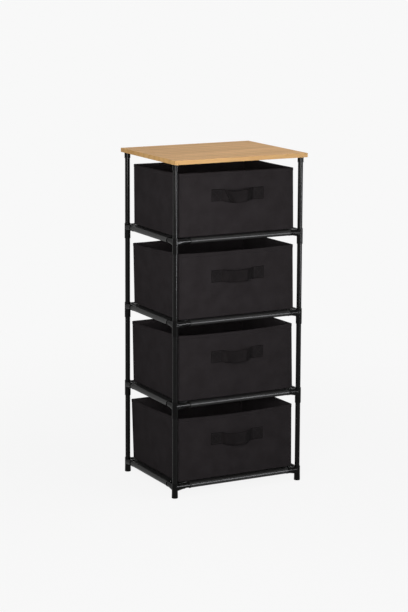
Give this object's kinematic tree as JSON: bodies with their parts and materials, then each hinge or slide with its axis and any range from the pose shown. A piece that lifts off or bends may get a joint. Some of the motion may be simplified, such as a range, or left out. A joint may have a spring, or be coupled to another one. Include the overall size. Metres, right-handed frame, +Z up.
{
  "type": "drawer unit",
  "caption": "Tall narrow unit of open-topped cloth drawers on a black steel tube frame under a flat wood-effect board.",
  "frame": {"origin": "on the floor under the middle of the unit", "axes": "+Z up, -Y towards the user (the drawers pull out that way), +X to the user's right"},
  "size_m": [0.44, 0.36, 1],
  "materials": {
    "wood_laminate": "satin light oak-effect laminate",
    "edge_banding": "satin light oak-effect edging",
    "zinc_screws": "zinc plated",
    "black_steel": "satin black powder coat",
    "black_plastic": "moulded black, slightly glossy",
    "shelf_cloth": "woven black polyester",
    "drawer_cloth": "matt black non-woven",
    "grey_card": "raw grey card",
    "webbing": "black woven webbing"
  },
  "bodies": {
    "frame": {"top_board": "wood_laminate", "board_edge_bands": "edge_banding", "board_screws": "zinc_screws", "top_socket_front_left": "black_plastic", "leg_tubes_front_left": "black_steel", "top_socket_front_right": "black_plastic", "leg_tubes_front_right": "black_steel", "top_socket_back_left": "black_plastic", "leg_tubes_back_left": "black_steel", "top_socket_back_right": "black_plastic", "leg_tubes_back_right": "black_steel", "foot_joint_front_left": "black_plastic", "foot_joint_front_right": "black_plastic", "foot_joint_back_left": "black_plastic", "foot_joint_back_right": "black_plastic", "front_rail_1": "black_steel", "back_rail_1": "black_steel", "side_rails_1": "black_steel", "shelf_cloth_1": "shelf_cloth", "corner_joint_2_front_left": "black_plastic", "corner_joint_2_front_right": "black_plastic", "corner_joint_2_back_left": "black_plastic", "corner_joint_2_back_right": "black_plastic", "front_rail_2": "black_steel", "back_rail_2": "black_steel", "side_rails_2": "black_steel", "shelf_cloth_2": "shelf_cloth", "corner_joint_3_front_left": "black_plastic", "corner_joint_3_front_right": "black_plastic", "corner_joint_3_back_left": "black_plastic", "corner_joint_3_back_right": "black_plastic", "front_rail_3": "black_steel", "back_rail_3": "black_steel", "side_rails_3": "black_steel", "shelf_cloth_3": "shelf_cloth", "corner_joint_4_front_left": "black_plastic", "corner_joint_4_front_right": "black_plastic", "corner_joint_4_back_left": "black_plastic", "corner_joint_4_back_right": "black_plastic", "front_rail_4": "black_steel", "back_rail_4": "black_steel", "side_rails_4": "black_steel", "shelf_cloth_4": "shelf_cloth"},
    "drawer_1": {"drawer_1_shell": "drawer_cloth", "drawer_1_wall_cards": "grey_card", "drawer_1_base_board": "drawer_cloth", "drawer_1_handle": "webbing"},
    "drawer_2": {"drawer_2_shell": "drawer_cloth", "drawer_2_wall_cards": "grey_card", "drawer_2_base_board": "drawer_cloth", "drawer_2_handle": "webbing"},
    "drawer_3": {"drawer_3_shell": "drawer_cloth", "drawer_3_wall_cards": "grey_card", "drawer_3_base_board": "drawer_cloth", "drawer_3_handle": "webbing"},
    "drawer_4": {"drawer_4_shell": "drawer_cloth", "drawer_4_wall_cards": "grey_card", "drawer_4_base_board": "drawer_cloth", "drawer_4_handle": "webbing"}
  },
  "joints": [
    {"name": "drawer_1_slide", "type": "slide", "parent": "frame", "child": "drawer_1", "axis": [0, -1, 0], "range_m": [0, 0.28]},
    {"name": "drawer_2_slide", "type": "slide", "parent": "frame", "child": "drawer_2", "axis": [0, -1, 0], "range_m": [0, 0.28]},
    {"name": "drawer_3_slide", "type": "slide", "parent": "frame", "child": "drawer_3", "axis": [0, -1, 0], "range_m": [0, 0.28]},
    {"name": "drawer_4_slide", "type": "slide", "parent": "frame", "child": "drawer_4", "axis": [0, -1, 0], "range_m": [0, 0.28]}
  ]
}
